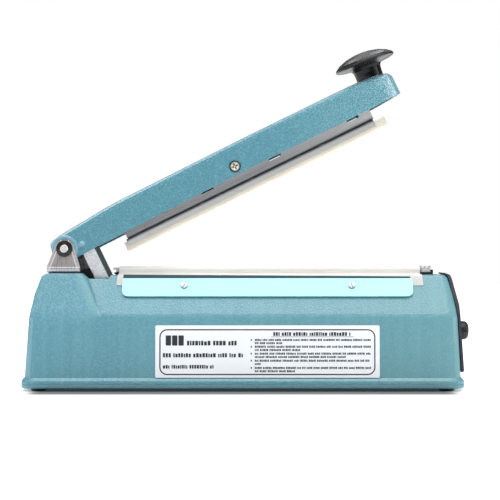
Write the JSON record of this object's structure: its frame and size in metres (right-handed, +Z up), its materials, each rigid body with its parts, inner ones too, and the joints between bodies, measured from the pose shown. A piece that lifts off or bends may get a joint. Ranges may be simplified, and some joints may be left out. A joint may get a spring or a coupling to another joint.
{
  "type": "impulse heat sealer",
  "caption": "Hand-operated impulse heat sealer for plastic bags: painted base with a heated sealing bed, timer dial and a hinged press arm with a mushroom knob.",
  "frame": {"origin": "on the table under the middle of the bounding box of the sealer with its arm raised", "axes": "+X along the sealing bed from the arm hinge to the timer dial, +Y to the back, +Z up"},
  "size_m": [0.3311, 0.081, 0.2537],
  "materials": {
    "teal_hammertone_paint": "satin",
    "teal_tray_paint": "satin",
    "teal_arm_paint": "satin",
    "pale_gloss_strip": "gloss",
    "black_plastic": "satin",
    "black_knob_plastic": "satin",
    "black_rubber": "matte",
    "grey_bar_paint": "satin",
    "drawn_aluminium": "satin",
    "zinc_plated_steel": "satin",
    "bright_steel": "gloss",
    "spring_steel": "satin",
    "cream_silicone": "matte",
    "coated_glass_cloth": "satin",
    "heating_ribbon": "satin",
    "printed_label": "satin",
    "red_lens": "gloss",
    "green_board": "satin",
    "enamelled_copper": "satin",
    "core_laminations": "matte",
    "switch_case": "satin",
    "brass": "satin",
    "blackened_steel": "satin"
  },
  "bodies": {
    "base": {"base_housing": "teal_hammertone_paint", "bottom_tray": "teal_tray_paint", "end_panel": "black_plastic", "potentiometer": "black_plastic", "indicator_lens": "red_lens", "indicator_lamp": "brass", "cord_gland": "black_rubber", "fuse_holder": "black_plastic", "transformer_core": "core_laminations", "transformer_coil": "enamelled_copper", "transformer_frame": "zinc_plated_steel", "timer_board": "green_board", "microswitch_case": "switch_case", "switch_bracket": "zinc_plated_steel", "hinge_gasket": "black_rubber", "hinge_bracket": "bright_steel", "bracket_screw_a": "zinc_plated_steel", "bracket_screw_b": "zinc_plated_steel", "pivot_pin": "bright_steel", "push_nut_front": "blackened_steel", "push_nut_back": "blackened_steel", "return_spring": "spring_steel", "striker_guide": "black_plastic", "bed_bar": "drawn_aluminium", "heating_wire": "heating_ribbon", "coated_cloth": "coated_glass_cloth", "terminal_block": "black_plastic", "terminal_clamp": "bright_steel", "terminal_spring_tab": "bright_steel", "label_plate": "printed_label", "front_cover_strip": "pale_gloss_strip", "front_strip_gasket": "black_rubber", "front_strip_screw_1": "zinc_plated_steel", "front_strip_screw_2": "zinc_plated_steel", "back_cover_strip": "pale_gloss_strip", "back_strip_gasket": "black_rubber", "back_strip_screw_1": "zinc_plated_steel", "back_strip_screw_2": "zinc_plated_steel", "foot_front_left": "black_rubber", "foot_screw_front_left": "zinc_plated_steel", "foot_front_right": "black_rubber", "foot_screw_front_right": "zinc_plated_steel", "foot_back_left": "black_rubber", "foot_screw_back_left": "zinc_plated_steel", "foot_back_right": "black_rubber", "foot_screw_back_right": "zinc_plated_steel"},
    "arm": {"lever_arm": "teal_arm_paint", "handle_knob": "black_knob_plastic", "handle_screw": "zinc_plated_steel", "switch_striker": "zinc_plated_steel", "striker_rivet": "teal_arm_paint", "bar_pivot_screw": "bright_steel", "bar_pivot_nut": "zinc_plated_steel"},
    "press_bar": {"press_bar": "grey_bar_paint", "silicone_channel": "drawn_aluminium", "silicone_strip": "cream_silicone"},
    "timer_dial": {"timer_knob": "black_knob_plastic", "timer_shaft": "brass"},
    "switch_lever": {"microswitch_lever": "bright_steel"}
  },
  "joints": [
    {"name": "arm_hinge", "type": "hinge", "parent": "base", "child": "arm", "pos_m": [-0.137, 0, 0.1035], "axis": [0, 1, 0], "range_deg": [0, 22.36], "stiffness_Nm_per_rad": 1, "springref_deg": -85.94, "deforming": ["return_spring"]},
    {"name": "bar_rock", "type": "hinge", "parent": "arm", "child": "press_bar", "pos_m": [-0.01086, 0, 0.16469], "axis": [0, 1, 0], "range_deg": [0, 3.7]},
    {"name": "switch_lever_hinge", "type": "hinge", "parent": "base", "child": "switch_lever", "pos_m": [-0.098, 0, 0.0508], "axis": [0, 1, 0], "range_deg": [-3.4, 0]},
    {"name": "timer_turn", "type": "hinge", "parent": "base", "child": "timer_dial", "pos_m": [0.159, 0, 0.0422], "axis": [1, 0, 0], "range_deg": [0, 270]}
  ],
  "couplings": [
    {"joint": "bar_rock", "follows": "arm_hinge", "ratio": 0.1628},
    {"joint": "switch_lever_hinge", "follows": "arm_hinge", "ratio": -0.1476}
  ]
}
